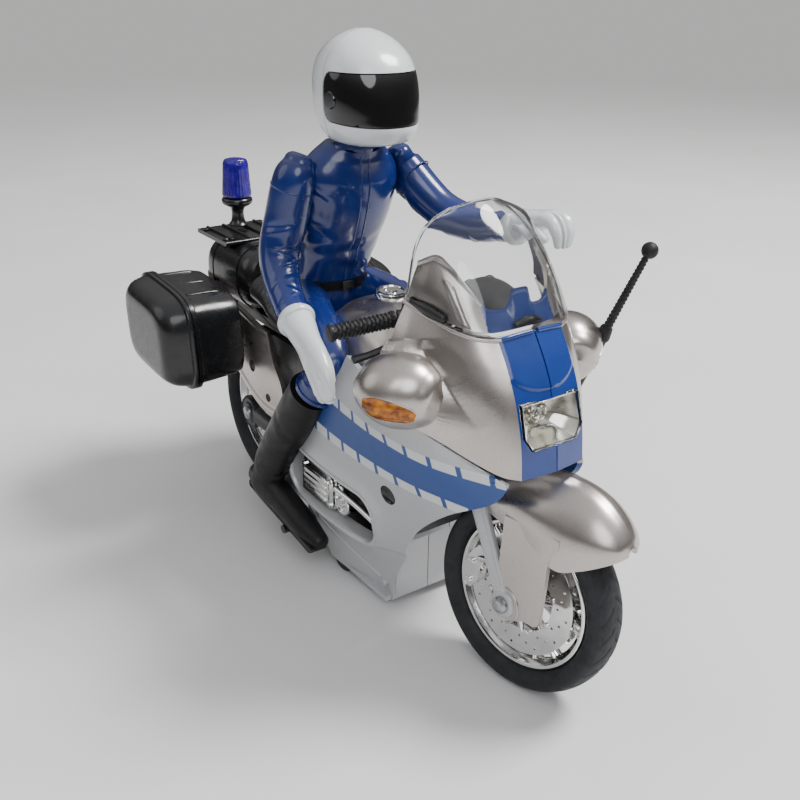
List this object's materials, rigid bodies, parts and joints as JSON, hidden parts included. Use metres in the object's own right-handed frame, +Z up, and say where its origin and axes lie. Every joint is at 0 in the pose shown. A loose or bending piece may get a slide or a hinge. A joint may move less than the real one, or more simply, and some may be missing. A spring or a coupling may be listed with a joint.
{
  "type": "toy motorcycle",
  "caption": "Moulded toy patrol motorcycle with a seated rider; wheels roll, fork steers, arms and head turn, and a pull-back spring motor geared to small rollers drives it.",
  "frame": {"origin": "middle of the model's box, on the ground the tyres stand on", "axes": "+X forwards, +Y to the rider's left, +Z up"},
  "size_m": [0.1812, 0.084, 0.1486],
  "materials": {
    "silver": "metallic silver paint over moulded plastic",
    "grey_silver": "satin grey-silver, moulded in colour",
    "plated": "vacuum-plated bright chrome",
    "steel": "bright wire and strip",
    "black": "black, semi-gloss",
    "visor": "black, high gloss",
    "tyre": "matt black",
    "rubber": "matt black",
    "gear_plastic": "natural nylon",
    "clear": "clear, polished",
    "amber": "clear amber, faceted",
    "blue_lens": "clear blue-violet",
    "red_lens": "clear red",
    "suit": "royal blue, glossy",
    "white": "white, glossy"
  },
  "bodies": {
    "chassis": {"chassis_frame": "black", "swingarm": "black", "silencer": "plated", "cylinder_head_right": "plated", "cylinder_head_left": "plated", "motor_case": "black", "motor_cover": "black", "mainspring": "steel", "lower_shell_left": "grey_silver", "lower_shell_right": "grey_silver", "upper_fairing_left": "silver", "upper_fairing_right": "silver", "dash_cowl": "silver", "windscreen": "clear", "headlight_lens": "clear", "indicator_left": "amber", "indicator_right": "amber", "tank_cover": "silver", "seat": "black", "tail_cowl": "silver", "tail_lamp": "red_lens", "luggage_rack": "black", "radio_box": "black", "beacon_base": "black", "beacon_lens": "blue_lens", "antenna": "rubber", "pannier_case_left": "black", "pannier_case_right": "black", "pannier_lid_left": "black", "pannier_lid_right": "black", "rear_axle": "steel", "rider_torso": "suit", "rider_leg_left": "suit", "rider_leg_right": "suit", "boot_left": "black", "boot_right": "black"},
    "steering": {"fork_leg_right": "grey_silver", "fork_leg_left": "grey_silver", "front_fender": "silver", "fork_yoke": "black", "handlebar": "black", "grip_right": "rubber", "grip_left": "rubber", "front_axle": "steel"},
    "front_wheel": {"front_rim": "plated", "front_tyre": "tyre"},
    "rear_wheel": {"rear_rim": "plated", "rear_tyre": "tyre"},
    "drive": {"drive_axle": "steel", "roller_right": "tyre", "roller_left": "tyre"},
    "reduction": {"reduction_gear": "gear_plastic"},
    "barrel": {"spring_barrel": "gear_plastic"},
    "right_arm": {"arm_right": "suit", "glove_right": "white"},
    "left_arm": {"arm_left": "suit", "glove_left": "white"},
    "head": {"helmet_rear": "white", "helmet_front": "white", "visor": "visor"}
  },
  "joints": [
    {"name": "steering_turn", "type": "hinge", "parent": "chassis", "child": "steering", "pos_m": [0.06213, 0, 0.02387], "axis": [-0.454, 0, 0.891], "range_deg": [-22, 2]},
    {"name": "front_wheel_spin", "type": "hinge", "parent": "steering", "child": "front_wheel", "pos_m": [0.06432, 0.00043, 0.02498], "axis": [-0.1547, 0.9848, -0.0788], "continuous": true},
    {"name": "rear_wheel_spin", "type": "hinge", "parent": "chassis", "child": "rear_wheel", "pos_m": [-0.05964, 0, 0.027], "axis": [0, 1, 0], "continuous": true},
    {"name": "drive_spin", "type": "hinge", "parent": "chassis", "child": "drive", "pos_m": [0.00036, 0, 0.0052], "axis": [0, 1, 0], "continuous": true},
    {"name": "reduction_spin", "type": "hinge", "parent": "chassis", "child": "reduction", "pos_m": [0.00621, 0, 0.01217], "axis": [0, 1, 0], "continuous": true},
    {"name": "barrel_spin", "type": "hinge", "parent": "chassis", "child": "barrel", "pos_m": [0.00825, 0, 0.02176], "axis": [0, 1, 0], "continuous": true},
    {"name": "right_shoulder", "type": "hinge", "parent": "chassis", "child": "right_arm", "pos_m": [-0.01464, -0.016, 0.113], "axis": [0, 1, 0], "range_deg": [0, 25]},
    {"name": "left_shoulder", "type": "hinge", "parent": "chassis", "child": "left_arm", "pos_m": [-0.01404, 0.016, 0.1126], "axis": [0, 1, 0], "range_deg": [-60, 10]},
    {"name": "neck_turn", "type": "hinge", "parent": "chassis", "child": "head", "pos_m": [-0.01064, 0, 0.124], "axis": [0, 0, 1], "range_deg": [-60, 60]}
  ],
  "couplings": [
    {"joint": "reduction_spin", "follows": "drive_spin", "ratio": -0.44444},
    {"joint": "barrel_spin", "follows": "drive_spin", "ratio": 0.17778}
  ]
}
